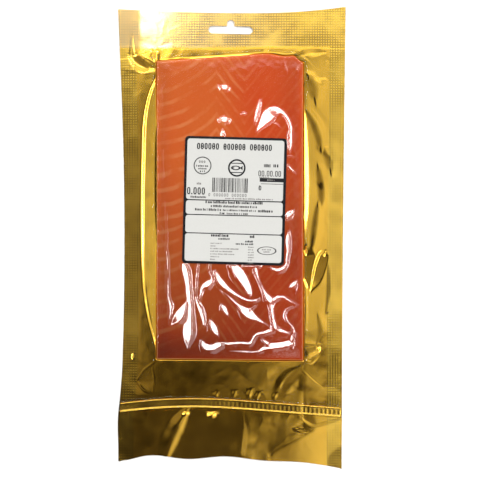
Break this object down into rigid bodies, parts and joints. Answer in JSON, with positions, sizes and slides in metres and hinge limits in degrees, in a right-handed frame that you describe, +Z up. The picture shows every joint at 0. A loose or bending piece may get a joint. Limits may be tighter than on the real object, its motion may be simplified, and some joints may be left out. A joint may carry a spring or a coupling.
{
  "type": "pack of smoked salmon",
  "caption": "Flat sealed pouch with gold foil back, clear front film, slab of smoked salmon, front label, press-close strip and hang slot.",
  "frame": {"origin": "centre of the pack's plan outline, on the table that its back rests on", "axes": "+Z up, out of the clear front; +Y along the pack's length towards the header with the hang slot; +X across its width"},
  "size_m": [0.164, 0.3332, 0.0076],
  "materials": {
    "gold_foil": "gold lacquered foil, glossy, with fine embossing in the seals",
    "clear_film": "clear glossy film",
    "smoked_salmon": "moist orange-red flesh with pale fat lines",
    "clear_strip": "clear moulded strip over gold foil",
    "label_paper": "white coated paper with a black printed frame"
  },
  "bodies": {
    "root": {"gold_foil_back": "gold_foil", "clear_film_front": "clear_film", "smoked_salmon": "smoked_salmon", "press_close_strip": "clear_strip", "label": "label_paper"}
  },
  "joints": []
}
